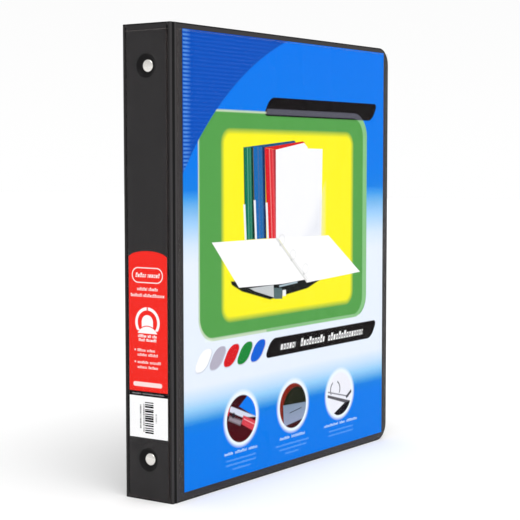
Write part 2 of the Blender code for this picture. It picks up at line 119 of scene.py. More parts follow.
class Net:
    """A material and short ways to add shader nodes to it."""

    def __init__(self, name, roughness=0.5, metallic=0.0):
        self.mat = bpy.data.materials.new(name)
        self.mat.use_nodes = True
        self.nodes = self.mat.node_tree.nodes
        self.links = self.mat.node_tree.links
        self.shader = self.nodes["Principled BSDF"]
        self.set(Roughness=roughness, Metallic=metallic)

    def put(self, socket, value):
        """Link or set a socket; three numbers for a colour are a screen colour, 0 to 255."""
        if isinstance(value, bpy.types.NodeSocket):
            self.links.new(value, socket)
        elif socket.type == "RGBA" and len(value) == 3:
            socket.default_value = rgb(*value)
        else:
            socket.default_value = value

    def set(self, **values):
        """Shader inputs by name, with _ for a space."""
        for key, value in values.items():
            self.put(self.shader.inputs[key.replace("_", " ")], value)

    def add(self, kind, inputs=None, **settings):
        node = self.nodes.new("ShaderNode" + kind)
        for key, value in settings.items():
            setattr(node, key, value)
        for key, value in (inputs or {}).items():
            self.put(node.inputs[key], value)
        return node

    def math(self, operation, *values):
        return self.add("Math", dict(enumerate(values)), operation=operation).outputs[0]

    def vector(self, operation, *values):
        node = self.add("VectorMath", dict(enumerate(values)), operation=operation)
        single = operation in ("DOT_PRODUCT", "LENGTH", "DISTANCE")
        return node.outputs[1 if single else 0]

    def dot(self, point, direction):
        return self.vector("DOT_PRODUCT", point, direction)

    def between(self, value, low, high, to_low=0.0, to_high=1.0):
        """value mapped from low..high and held inside."""
        inputs = {0: value, 1: low, 2: high, 3: to_low, 4: to_high}
        return self.add("MapRange", inputs).outputs[0]

    def mix(self, share, below, above):
        return self.add("Mix", {0: share, 6: below, 7: above}, data_type="RGBA").outputs[2]

    def ramp(self, value, stops, interpolation="LINEAR"):
        node = self.add("ValToRGB", {0: value})
        band = node.color_ramp
        band.interpolation = interpolation
        while len(band.elements) < len(stops):
            band.elements.new(1.0)
        for element, (place, _) in zip(band.elements, stops):
            element.position = place
        for element, (_, colour) in zip(band.elements, stops):
            element.color = rgb(*colour)
        return node.outputs[0]

    def millimetres(self):
        """Row-frame position on the resting object, in millimetres."""
        where = self.add("TexCoord").outputs["Object"]
        return self.vector("MULTIPLY", where, (1000.0, 1000.0, 1000.0))

    def noise(self, point, size, detail=2.0, rough=0.5, stretch=None):
        """Noise from 0 to 1 with features of about size millimetres."""
        if stretch:
            point = self.vector("MULTIPLY", point, stretch)
        inputs = {"Vector": point, "Scale": 1.0 / size, "Detail": detail, "Roughness": rough}
        return self.add("TexNoise", inputs).outputs[0]

    def bump(self, height, strength, distance):
        inputs = {"Height": height, "Strength": strength, "Distance": distance * MM}
        return self.add("Bump", inputs).outputs[0]


class Art(Net):
    """Flat print drawn with nodes; x and y are millimetres on the sheet."""

    def __init__(self, name, roughness):
        super().__init__(name, roughness)
        self.colour = None

    def sheet(self, x, y):
        self.x, self.y = x, y
        self.at = self.add("CombineXYZ", {0: x, 1: y, 2: 1.0}).outputs[0]

    def within(self, reach, limit, soft=0.3):
        """1 where reach is below the limit, with an edge soft millimetres wide."""
        return self.between(reach, limit - soft / 2, limit + soft / 2, 1.0, 0.0)

    def box(self, left, right, low, high, radius=0.3, soft=0.3, lean=0.0, at=None):
        """Rounded box; lean moves it sideways for each millimetre up from its middle."""
        across, up = (left + right) / 2, (low + high) / 2
        at = at or self.at
        if lean:
            slid = self.dot(at, (1.0, -lean, lean * up))
            at = self.add("CombineXYZ", {0: slid, 1: self.y, 2: 1.0}).outputs[0]
        away = self.vector("SUBTRACT", at, (across, up, 1.0))
        away = self.vector("ABSOLUTE", away)
        core = ((right - left) / 2 - radius, (high - low) / 2 - radius, 0.0)
        away = self.vector("MAXIMUM", self.vector("SUBTRACT", away, core), (0.0, 0.0, 0.0))
        return self.within(self.vector("LENGTH", away), radius, soft)

    def polygon(self, points, soft=0.3):
        """Convex polygon."""
        edges = list(zip(points, points[1:] + points[:1]))
        area = sum(a[0] * b[1] - b[0] * a[1] for a, b in edges)
        worst = None
        for a, b in edges:
            normal = Vector((b[1] - a[1], a[0] - b[0])).normalized() * (1 if area > 0 else -1)
            line = (normal.x, normal.y, -(normal.x * a[0] + normal.y * a[1]))
            distance = self.dot(self.at, line)
            worst = distance if worst is None else self.math("MAXIMUM", worst, distance)
        return self.within(worst, 0.0, soft)

    def disc(self, across, up, radius, soft=0.3):
        reach = self.vector("DISTANCE", self.at, (across, up, 1.0))
        return self.within(reach, radius, soft)

    def hoop(self, across, up, radius, width, soft=0.3):
        """Circle line of the given width."""
        reach = self.vector("DISTANCE", self.at, (across, up, 1.0))
        off = self.math("ABSOLUTE", self.math("SUBTRACT", reach, radius))
        return self.within(self.math("SUBTRACT", off, width / 2), 0.0, soft)

    def stroke(self, start, end, width, soft=0.3):
        """Straight bar from start to end."""
        along = Vector(end) - Vector(start)
        across = Vector((-along.y, along.x)).normalized() * width / 2
        a, b = Vector(start), Vector(end)
        return self.polygon([tuple(a + across), tuple(b + across), tuple(b - across),
                             tuple(a - across)], soft)

    def combined(self, operation, masks):
        result = masks[0]
        for mask in masks[1:]:
            result = self.math(operation, result, mask)
        return result

    def both(self, *masks):
        return self.combined("MULTIPLY", masks)

    def either(self, *masks):
        return self.combined("MAXIMUM", masks)

    def without(self, mask, hole):
        return self.math("MULTIPLY", mask, self.math("SUBTRACT", 1.0, hole))

    def paint(self, mask, colour, strength=1.0):
        if strength < 1.0:
            mask = self.math("MULTIPLY", mask, strength)
        self.colour = self.mix(mask, self.colour, colour)

    def coated(self, ripple, roughness, strength, distance, level):
        """The finished material: coated paper with a soft gloss and a slow ripple."""
        self.set(
            Base_Color=self.colour,
            Roughness=self.between(ripple, 0.2, 0.8, roughness, roughness + 0.12),
            Normal=self.bump(ripple, strength, distance),
            Specular_IOR_Level=level,
        )
        return self.mat

    def fill(self, points, colour, soft=0.3, strength=1.0):
        """Paint a convex polygon."""
        self.paint(self.polygon(points, soft), colour, strength)

    def words(self, spans, up, tall, soft=0.3, lean=0.0):
        """Text stood in for by marks that spell nothing, for each (left, right) word.

        A row is cut into cells with one post in each. Chance makes a post short or tall, and
        puts a hole in most of them.
        """
        pitch, round_end = 0.62 * tall, 0.2 * tall
        short, extra, hole_drop = 0.2 * tall, 0.3 * tall, 0.14 * tall
        tall_share, hole_share = 0.62, 0.25
        bars = self.either(*[
            self.box(left, right, up - tall / 2, up + tall / 2, round_end, soft, lean)
            for left, right in spans
        ])
        slid = self.dot(self.at, (1.0, -lean, lean * up))
        cell = self.math("DIVIDE", slid, pitch)
        seed = self.math("ADD", self.math("FLOOR", cell), 3.7 * up)
        chance = self.add("TexWhiteNoise", {"W": seed}, noise_dimensions="1D").outputs[0]
        off = self.math("ABSOLUTE", self.math("SUBTRACT", self.math("FRACT", cell), 0.5))
        post = self.between(off, 0.33, 0.41, 1.0, 0.0)
        is_tall = self.math("GREATER_THAN", chance, tall_share)
        top = self.math("MULTIPLY_ADD", is_tall, extra, up + short)
        under = self.within(self.math("SUBTRACT", self.y, top), 0.0, soft)
        level = self.math("ABSOLUTE", self.math("SUBTRACT", self.y, up - hole_drop))
        hole = self.both(self.between(off, 0.1, 0.17, 1.0, 0.0),
                         self.between(level, 0.12 * tall, 0.2 * tall, 1.0, 0.0),
                         self.math("GREATER_THAN", chance, hole_share))
        return self.both(bars, post, under, self.math("SUBTRACT", 1.0, hole))


# ---- meshes ----
SIDES = ("left", "right", "low", "high")
NO_EDGES = (None,) * 4
EDGE_LINES = {0.0, 0.15, 0.5}
CORNER_LINES = 12
MIDDLE_STEPS = (6, 8)
TURNED_STEPS = 48
WIRE_STEPS = 28


def smooth_faces(bm, degrees):
    """Shade smooth, but keep edges sharper than the given angle."""
    for face in bm.faces:
        face.smooth = True
    for edge in bm.edges:
        edge.smooth = edge.calc_face_angle(0.0) < math.radians(degrees)


def finish_mesh(bm, name, mats, smooth):
    """Join points, face outwards, smooth below the given edge angle, and make the object."""
    bmesh.ops.remove_doubles(bm, verts=bm.verts, dist=1e-7)
    bmesh.ops.recalc_face_normals(bm, faces=bm.faces)
    smooth_faces(bm, smooth)
    mesh = bpy.data.meshes.new(name)
    bm.to_mesh(mesh)
    bm.free()
    for mat in mats:
        mesh.materials.append(mat)
    obj = bpy.data.objects.new(name, mesh)
    bpy.context.scene.collection.objects.link(obj)
    return obj


def build(name, points, faces, mats, smooth, slots=None):
    """Make an object from spine-frame points; slots gives each face's material number."""
    bm = bmesh.new()
    verts = [bm.verts.new(metres(p)) for p in points]
    for index, face in enumerate(faces):
        made = bm.faces.new([verts[i] for i in face])
        if slots:
            made.material_index = slots[index]
    return finish_mesh(bm, name, mats, smooth)


def at_distance(pairs, distance):
    """Depth at a distance from an edge, from (distance, depth) pairs."""
    if distance <= pairs[0][0]:
        return pairs[0][1]
    for (near, low), (far, high) in zip(pairs, pairs[1:]):
        if distance <= far:
            t = (distance - near) / (far - near)
            return low + (high - low) * t * t * (3 - 2 * t)
    return pairs[-1][1]


def samples(low, high, low_steps, high_steps, middle):
    """Grid lines: close steps at each end and an even spacing between."""
    lines = [low + s for s in low_steps] + [high - s for s in high_steps]
    start, end = low + low_steps[-1], high - high_steps[-1]
    lines += [start + (end - start) * i / middle for i in range(1, middle)]
    return sorted(lines)


def pad(name, span_a, span_b, depths, edges, place, mats, corner=None, slot_of=None):
    """A closed thin sheet whose two faces follow a profile in from each edge.

    depths are the visible and the hidden face's. edges holds, for each of SIDES, the
    (distance, depth) pairs of the two faces, or None; where two apply, the depth further from
    the face's own wins. corner maps "high" or "low" to the radius of the sheet's corner there
    on its right. slot_of picks the visible face's material from a place on the sheet.
    """
    profiles = {side: pairs for side, pairs in zip(SIDES, edges) if pairs}
    corner = corner or {}
    steps = {}
    for side in SIDES:
        lines = EDGE_LINES | {d for face in profiles.get(side, ()) for d, _ in face}
        for end, radius in corner.items():
            if side in ("right", end):
                lines |= {radius * (1 - math.cos(math.pi * i / (2 * CORNER_LINES)))
                          for i in range(1, CORNER_LINES + 1)}
        steps[side] = sorted(lines)
    lines_a = samples(*span_a, steps["left"], steps["right"], MIDDLE_STEPS[0])
    lines_b = samples(*span_b, steps["low"], steps["high"], MIDDLE_STEPS[1])
    points = []
    for face, level in enumerate(depths):
        for b in lines_b:
            for a in lines_a:
                insets = {"left": a - span_a[0], "right": span_a[1] - a,
                          "low": b - span_b[0], "high": span_b[1] - b}
                depth = level
                for side, pairs in profiles.items():
                    value = at_distance(pairs[face], insets[side])
                    if abs(value - level) > abs(depth - level):
                        depth = value
                points.append(place(*rounded(a, b, span_a, span_b, corner), depth))
    na, nb = len(lines_a), len(lines_b)

    def at(face, j, i):
        return (face * nb + j) * na + i

    faces, slots = [], []
    for j in range(nb - 1):
        for i in range(na - 1):
            middle_a, middle_b = (lines_a[i] + lines_a[i + 1]) / 2, (lines_b[j] + lines_b[j + 1]) / 2
            slot = slot_of(middle_a, middle_b) if slot_of else 0
            faces.append((at(0, j, i), at(0, j, i + 1), at(0, j + 1, i + 1), at(0, j + 1, i)))
            faces.append((at(1, j, i), at(1, j + 1, i), at(1, j + 1, i + 1), at(1, j, i + 1)))
            slots += [slot, 0]
    walls = [(j, i, j, i + 1) for i in range(na - 1) for j in (0, nb - 1)]
    walls += [(j, i, j + 1, i) for j in range(nb - 1) for i in (0, na - 1)]
    faces += [(at(0, j, i), at(1, j, i), at(1, m, n), at(0, m, n)) for j, i, m, n in walls]
    # With slot_of the walls take the last material: the film's lip on clear sheets, and on skins the
    # darker vinyl of painted shade along their edges.
    slots += [len(mats) - 1 if slot_of else 0] * len(walls)
    return build(name, points, faces, mats, 50.0, slots)


def rounded(a, b, span_a, span_b, corner):
    """Bend the grid round the right-hand corners, keeping lines at their distance inwards."""
    for end, radius in corner.items():
        sign, edge_b = (1, span_b[1]) if end == "high" else (-1, span_b[0])
        centre_a, centre_b = span_a[1] - radius, edge_b - sign * radius
        da, db = a - centre_a, sign * (b - centre_b)
        if da > 0.0 and db > 0.0:
            scale = max(da, db) / math.hypot(da, db)
            return centre_a + da * scale, centre_b + sign * db * scale
    return a, b


def joined_rings(radii, steps, closed=False):
    """Faces between rings of points, where a ring of radius 0 is a single point."""
    starts = [0]
    for radius in radii:
        starts.append(starts[-1] + (steps if radius else 1))
    pairs = list(zip(range(len(radii)), range(1, len(radii))))
    if closed:
        pairs.append((len(radii) - 1, 0))
    faces = []
    for one, two in pairs:
        first, second = starts[one], starts[two]
        for i in range(steps):
            k = (i + 1) % steps
            if radii[one] == 0.0:
                faces.append((first, second + k, second + i))
            elif radii[two] == 0.0:
                faces.append((first + i, first + k, second))
            else:
                faces.append((first + i, first + k, second + k, second + i))
    return faces


def lathe(name, y, z, profile, mats, closed=False):
    """Turn an (x, radius) profile about a line along x."""
    points = []
    for x, radius in profile:
        for i in range(TURNED_STEPS if radius else 1):
            angle = 2 * math.pi * i / TURNED_STEPS
            points.append((x, y + radius * math.cos(angle), z + radius * math.sin(angle)))
    faces = joined_rings([radius for _, radius in profile], TURNED_STEPS, closed)
    return build(name, points, faces, mats, 50.0)


def tube(name, path, z, mats):
    """Round bar along (point, direction, radius) stations in the plane at height z."""
    points = []
    for p, direction, radius in path:
        across = Vector((-direction.y, direction.x))
        for i in range(WIRE_STEPS if radius else 1):
            angle = 2 * math.pi * i / WIRE_STEPS
            q = p + across * (radius * math.cos(angle))
            points.append((q.x, q.y, z + radius * math.sin(angle)))
    faces = joined_rings([radius for _, _, radius in path], WIRE_STEPS)
    return build(name, points, faces, mats, 45.0)


def drill(obj, places, radius):
    """Cut round holes along x through a piece."""
    cutters = []
    for y, z in places:
        profile = [(-3.0, 0.0), (-3.0, radius), (4.0, radius), (4.0, 0.0)]
        cutters.append(lathe("cutter", y, z, profile, []))
        modifier = obj.modifiers.new("cut", "BOOLEAN")
        modifier.operation = "DIFFERENCE"
        modifier.solver = "EXACT"
        modifier.object = cutters[-1]
    bpy.context.view_layer.update()
    graph = bpy.context.evaluated_depsgraph_get()
    mesh = bpy.data.meshes.new_from_object(obj.evaluated_get(graph), depsgraph=graph)
    obj.modifiers.clear()
    obj.data = mesh
    for cutter in cutters:
        bpy.data.objects.remove(cutter)
    bm = bmesh.new()
    bm.from_mesh(mesh)
    smooth_faces(bm, 50.0)
    bm.to_mesh(mesh)
    bm.free()


def refined(name, node, mat, soften):
    """A copy of a CAD piece's shape with its triangles joined and its edges softened."""
    bm = bmesh.new()
    bm.from_mesh(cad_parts[node].data)
    bmesh.ops.remove_doubles(bm, verts=bm.verts, dist=2e-6)
    bmesh.ops.dissolve_limit(
        bm, angle_limit=math.radians(1.0), verts=bm.verts, edges=bm.edges,
        use_dissolve_boundaries=False,
    )
    for face in bm.faces:
        face.material_index = 0
    if soften:
        sharp = [e for e in bm.edges if e.calc_face_angle(0.0) > math.radians(30.0)]
        bmesh.ops.bevel(
            bm, geom=sharp, offset=soften * MM, offset_type="OFFSET", segments=2,
            profile=0.5, affect="EDGES", clamp_overlap=True,
        )
    return finish_mesh(bm, name, [mat], 40.0)


def stands_for(piece, body, node):
    """Ride on a body in place of a CAD node, and hide that node."""
    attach(piece, body)
    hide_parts(node)


# ---- plain materials ----
def toned(colour, factor):
    """A screen colour made lighter or darker, as linear numbers."""
    return tuple(c * factor for c in rgb(*colour)[:3]) + (1.0,)


def vinyl(name, colour, roughness, grain, level):
    """Calendered vinyl: fine pebble grain, faint cloudiness, gloss that varies a little."""
    net = Net(name, roughness)
    at = net.millimetres()
    cloud = net.noise(at, 22.0, 3.0, 0.6)
    fine = net.noise(at, 0.45, 2.0, 0.6)
    pebbles = net.add("TexVoronoi", {"Vector": at, "Scale": 1.25}, feature="SMOOTH_F1").outputs[0]
    light = toned(colour, 1.12)
    shade = net.mix(net.between(cloud, 0.3, 0.7), toned(colour, 0.86), light)
    net.set(
        Base_Color=net.mix(net.between(fine, 0.3, 0.7, 0.0, 0.25), shade, light),
        Roughness=net.between(cloud, 0.25, 0.75, roughness - 0.04, roughness + 0.05),
        Normal=net.bump(
            net.math("MULTIPLY_ADD", pebbles, 0.7, net.math("MULTIPLY", fine, 0.5)),
            0.35 * grain, 0.04,
        ),
        Specular_IOR_Level=level,
    )
    return net.mat


def metal(name, colour, roughness, brushed=(1.0, 1.0, 1.0)):
    """Plated steel: uneven gloss and tone, and faint drawing lines."""
    net = Net(name, roughness, 1.0)
    at = net.millimetres()
    cloud = net.noise(at, 6.0, 3.0, 0.6)
    lines = net.noise(at, 0.35, 3.0, 0.7, brushed)
    net.set(
        Base_Color=net.mix(net.between(cloud, 0.2, 0.8), colour, toned(colour, 0.93)),
        Roughness=net.math(
            "ADD", net.between(cloud, 0.2, 0.8, roughness - 0.02, roughness + 0.03),
            net.between(lines, 0.3, 0.7, -0.01, 0.03),
        ),
        Normal=net.bump(lines, 0.05, 0.01),
    )
    return net.mat


def cardboard(name):
    """Grey-brown chipboard with fibres and flecks."""
    net = Net(name, 0.9)
    at = net.millimetres()
    fibre = net.noise(at, 0.8, 4.0, 0.7, (0.3, 1.0, 1.0))
    fleck = net.noise(at, 0.5, 1.0)
    base = net.mix(fibre, (132, 112, 86), (168, 150, 122))
    net.set(
        Base_Color=net.mix(net.between(fleck, 0.68, 0.75), base, (84, 72, 58)),
        Normal=net.bump(fibre, 0.5, 0.05),
    )
    return net.mat


def clear_film(name, alpha, shade):
    """Clear polypropylene: nearly nothing but a faint cloudy haze and a soft gloss."""
    net = Net(name, 0.12)
    at = net.millimetres()
    cloud = net.noise(at, 30.0, 3.0, 0.6)
    net.set(
        Base_Color=net.mix(cloud, shade, toned(shade, 1.2)),
        Roughness=net.between(cloud, 0.2, 0.8, 0.08, 0.18),
        Normal=net.bump(net.noise(at, 18.0, 1.0), 0.3, 0.15),
        Alpha=alpha,
        Specular_IOR_Level=0.5,
    )
    return net.mat


# ---- the print on the front sheet ----
def front_print():
    """Insert sheet: blue fading to white, a green panel round a picture of binders."""
    art = Art("front_insert_print", 0.3)
    turn = math.radians(-FAN_DEG)
    along = (math.cos(turn), math.sin(turn))
    hinge = (HINGE_DEPTH - CENTRE_X, HINGE_DEPTH - SPINE_WIDTH / 2)
    shift = HINGE_DEPTH - INSERT_CORNER[0] - hinge[0] * along[0] - hinge[1] * along[1]
    at = art.millimetres()
    x = art.math("ADD", art.dot(at, (*along, 0.0)), shift)
    y = art.math("SUBTRACT", art.dot(at, (0.0, 0.0, 1.0)), INSERT_CORNER[1])
    art.sheet(x, y)
    tall = INSERT_SIZE[1]
    blue, pale = (4, 122, 233), (230, 238, 251)
    art.colour = art.ramp(art.math("DIVIDE", y, tall), [
        (0.0, blue), (34 / tall, blue), (40 / tall, (13, 124, 226)),
        (43 / tall, (66, 155, 227)), (50 / tall, (150, 205, 245)),
        (56 / tall, (196, 223, 248)), (64 / tall, pale), (140 / tall, pale),
        (152 / tall, (212, 230, 252)), (164 / tall, (165, 209, 248)),
        (175 / tall, (114, 180, 236)), (181 / tall, (64, 156, 234)),
        (186 / tall, (18, 126, 228)), (200 / tall, blue), (1.0, (4, 118, 236)),
    ])

    # green panel under a glassy rim, with a black bar between them
    lean = 0.64
    panel = art.box(14.3, 207.0, 91.0, 236.0, 15.0, 1.0)
    art.paint(panel, (85, 158, 77))
    art.paint(art.box(38.5, 187.5, 102.8, 222.8, 8.0, 4.5), (250, 241, 38))
    bar = art.box(85.0, 217.5, 233.2, 245.6, 4.6, 0.6, lean)
    art.paint(bar, (13, 8, 9))
    line = art.without(panel, art.box(15.5, 206.0, 92.6, 234.7, 14.0, 0.8))
    art.paint(art.both(line, art.between(x, 86.0, 84.0)), (250, 252, 236), 0.52)
    rim = art.without(art.box(14.3, 207.0, 91.0, 238.0, 17.0, 0.8),
                      art.box(15.5, 201.7, 92.6, 234.3, 13.0, 0.8))
    art.paint(art.both(rim, art.between(x, 84.0, 86.0)), art.mix(bar, (137, 194, 133), (86, 86, 98)))
    art.paint(art.without(art.box(20.0, 198.0, 90.8, 92.8, 0.6, 1.2), rim), (238, 248, 240), 0.5)

    # dark corner with fine stripes, cut off by a large arc
    corner = art.math("SUBTRACT", 1.0, art.disc(186.0, 76.0, 221.5, 0.8))
    wave = art.math("SINE", art.math("MULTIPLY", y, 2 * math.pi / 2.45))
    stripes = art.between(wave, -0.8, 0.8)
    art.paint(corner, art.mix(stripes, (6, 75, 181), (15, 86, 192)))
    dash = art.both(corner, stripes, art.between(x, 3.5, 8.0, 1.0, 0.0), art.between(x, 0.0, 1.0))
    art.paint(dash, (90, 152, 226), 0.8)

    binders(art)
    pills(art, lean)
    art.paint(art.box(86.3, 218.2, 73.3, 86.0, 4.8, 0.6, lean), (13, 8, 9))
    title = art.words([(100.0, 118.0), (123.5, 153.0), (157.5, 203.0)], 79.8, 5.4, 0.5, 0.2)
    art.paint(title, (240, 240, 240))

    for across, draw in ((57.5, spine_scene), (115.0, pocket_scene), (172.5, ring_scene)):
        art.paint(art.disc(across, 37.4, 18.2, 2.6), (238, 246, 253))
        under = art.colour
        draw(art)
        scene, art.colour = art.colour, under
        art.paint(art.disc(across, 37.2, 15.4, 0.7), scene)

    heads = [(39.5, 48.5), (50.5, 63.0), (65.0, 74.5), (99.5, 111.0), (113.0, 129.0),
             (153.0, 170.5), (172.5, 179.5), (181.5, 195.5)]
    art.paint(art.words(heads, 16.3, 1.9), (200, 228, 250), 0.9)
    for up, spans in ((11.7, [(41.5, 72.5), (95.0, 134.0), (159.0, 190.0)]),
                      (8.7, [(41.0, 73.0), (99.0, 131.0), (158.5, 190.0)]),
                      (5.6, [(48.0, 67.0), (106.0, 121.5)])):
        art.paint(art.words(spans, up, 1.3), (120, 184, 246), 0.7)

    ripple = art.noise(at, 45.0, 2.0, 0.5, (1.0, 1.0, 0.45))
    return art.coated(ripple, 0.22, 0.35, 0.6, 0.02)


def binders(art):
    """Three standing binders, a white one and an open one on the yellow field."""
    art.fill([(60, 212.6), (116, 217.6), (118, 216.2), (83, 212.2)], (24, 82, 128))
    art.fill([(82.5, 212.6), (126, 217.2), (129, 216.0), (96, 211.2)], (214, 34, 36))
    white = (246, 246, 249)
    art.fill([(94.5, 152), (94.5, 211.2), (127.5, 216.2), (131.5, 213.4), (131.5, 152)], white)
    art.fill([(130, 152), (130, 212.4), (149.8, 212.2), (148.4, 152)], white)
    art.fill([(130, 152), (149, 152), (149, 176)], (228, 230, 238), 12.0, 0.8)
    spines = (
        ((59.8, 212.6), (70.0, 212.9), (72.0, 153), (61.4, 153), (20, 112, 84), (88, 165, 140),
         (8, 52, 42)),
        ((70.0, 213.4), (82.8, 213.0), (84.6, 153), (72.0, 153), (24, 104, 178), (74, 106, 150),
         (22, 44, 88)),
        ((82.6, 212.5), (95.0, 211.4), (95.2, 152), (85.6, 153), (218, 28, 40), (236, 128, 128),
         (168, 44, 54)),
    )
    for left_top, right_top, right_low, left_low, base, shine, shadow in spines:
        slope = (left_low[0] - left_top[0]) / (left_low[1] - left_top[1])
        wide = right_top[0] - left_top[0]
        start = (slope * left_top[1] - left_top[0]) / wide
        local = art.dot(art.at, (1.0 / wide, -slope / wide, start))
        shade = art.ramp(local, [
            (0.0, shadow), (0.07, base), (0.34, base), (0.42, shine), (0.5, base),
            (0.72, [(a + b) // 2 for a, b in zip(base, shine)]), (0.84, shadow), (1.0, shadow),
        ])
        shape = art.polygon([left_top, right_top, right_low, left_low], 0.5)
        art.paint(shape, shade)
    for left, top in ((59.6, 176.0), (70.6, 178.5), (83.6, 176.5)):
        art.fill([(left, top), (left + 2.2, top), (left + 3.6, 153), (left + 1.6, 153)],
                 (236, 238, 242), 0.5)
    # open binder: dark covers and rings below, white pages above
    art.fill([(45.2, 131), (47.5, 125), (58, 120), (94, 110.8), (113, 110.6), (132, 116.5),
              (186, 121.8), (130, 124)], (24, 27, 25), 0.8)
    art.fill([(66, 121.4), (92.5, 121.6), (93, 113.2), (72, 119)], (196, 200, 202), 0.6)
    art.fill([(92.5, 119.8), (102, 118.6), (102.4, 111.6), (93.4, 112.2)], (86, 108, 110), 0.5)
    art.paint(art.box(102.6, 106.6, 113.2, 117.4, 0.6, 0.6), (236, 240, 240))
    art.paint(art.stroke((99, 120.2), (120, 121.6), 1.2, 0.6), (170, 190, 200))
    page = (253, 253, 254)
    art.fill([(27.5, 153), (97, 152.6), (131.5, 121), (103, 121.6), (57.6, 119.8)], page, 0.4)
    art.fill([(98, 152.6), (157.5, 151.8), (198.8, 123.4), (131, 120.4)], page, 0.4)
    art.paint(art.stroke((95.5, 152.6), (131, 121.4), 1.3, 1.2), (214, 214, 212))
    art.paint(art.stroke((97.8, 152.0), (132, 123), 0.5, 0.7), (218, 218, 216))
    for across, up in ((101.8, 151.4), (114.6, 140.6), (129.4, 130.2)):
        art.paint(art.hoop(across, up, 3.3, 0.6, 0.9), (206, 206, 204), 0.55)
        art.paint(art.disc(across - 2.0, up - 3.6, 0.7, 0.9), (168, 168, 168), 0.7)


def pills(art, lean):
    """Row of five leaning colour swatches."""
    colours = [(251, 251, 253), (180, 175, 192), (214, 26, 32), (26, 132, 54), (16, 94, 212)]
    pitch, first, up, half_tall = 14.1, 18.9, 79.7, 6.9
    slid = art.dot(art.at, (1.0, -lean, lean * up - first))
    step = art.math("ROUND", art.math("DIVIDE", slid, pitch))
    last = len(colours) - 1.0
    step = art.math("MINIMUM", art.math("MAXIMUM", step, 0.0), last)
    local = art.math("SUBTRACT", slid, art.math("MULTIPLY", step, pitch))
    at = art.add("CombineXYZ", {0: local, 1: art.y, 2: 1.0}).outputs[0]
    low, high = up - half_tall, up + half_tall
    art.paint(art.box(-5.6, 6.8, low - 0.5, high - 0.3, 5.6, 1.4, at=at), (176, 180, 196), 0.7)
    swatch = art.ramp(
        art.math("DIVIDE", step, len(colours)),
        [(i / len(colours) - (0.05 if i else 0.0), c) for i, c in enumerate(colours)],
        "CONSTANT",
    )
    art.paint(art.box(-5.9, 5.9, low, high, 5.2, 0.6, at=at), swatch)


def spine_scene(art):
    """Round picture: a label going into a binder's spine."""
    art.colour = art.mix(art.between(art.y, 24.0, 50.0), (74, 2, 10), (52, 3, 14))
    art.fill([(55, 45.5), (64, 51.5), (80, 52), (80, 32)], (4, 122, 236), 0.6)
    art.fill([(43, 45.8), (47, 46.6), (75, 35.5), (73.5, 31.5), (58, 38), (43, 40)],
             (214, 220, 236), 0.8)
    art.fill([(59.5, 39), (73.5, 33), (70, 27), (57.5, 33.5)], (216, 66, 78), 0.8)
    art.paint(art.stroke((60, 36.6), (72, 31), 0.6, 0.6), (240, 170, 178))
    art.fill([(45, 40.5), (58, 35.6), (56, 33), (44, 38)], (150, 140, 150), 1.6)
    art.paint(art.disc(49.0, 40.5, 1.7, 1.2), (36, 32, 44))
    art.fill([(42, 45.5), (46, 46.5), (44, 41), (41, 41)], (206, 40, 62), 0.8)


def pocket_scene(art):
    """Round picture: a clear inner pocket."""
    art.colour = (132, 34, 20)
    art.paint(art.disc(118.5, 34.5, 15.5, 1.5), (26, 30, 15))
    art.paint(art.polygon([(103.4, 38.8), (131.5, 37.6), (131.5, 26.5), (104.4, 23.9)], 0.7),
              art.mix(art.between(art.y, 24.0, 39.0), (150, 160, 188), (128, 146, 166)))
    art.fill([(104.4, 24.2), (127, 26.6), (124, 18), (104, 18)], (58, 12, 14), 0.8)
    art.paint(art.stroke((111, 32.6), (125, 34.4), 0.6, 0.5), (56, 62, 74))


def ring_scene(art):
    """Round picture: the open ring mechanism."""
    art.colour = (239, 239, 247)
    gap = art.math("SUBTRACT", 1.0, art.box(163.8, 169.4, 40.0, 52.0, 0.4, 0.6))
    loop = art.both(art.hoop(166.8, 41.0, 6.0, 1.1, 0.6), gap, art.between(art.y, 37.6, 38.4))
    art.paint(loop, (96, 96, 102), 0.9)
    art.paint(art.stroke((155, 40.9), (184, 33.8), 0.9, 0.6), (138, 138, 144))
    art.fill([(155, 38.9), (155, 37.0), (183, 28.6), (186.8, 30.2)], (92, 90, 96), 0.6)
    art.paint(art.stroke((181, 33.4), (188, 37.6), 2.0, 0.8), (66, 66, 72))
    art.fill([(165.4, 24.0), (179.5, 30.0), (187.5, 30.0), (184, 20), (172, 20)], (18, 14, 22), 0.6)


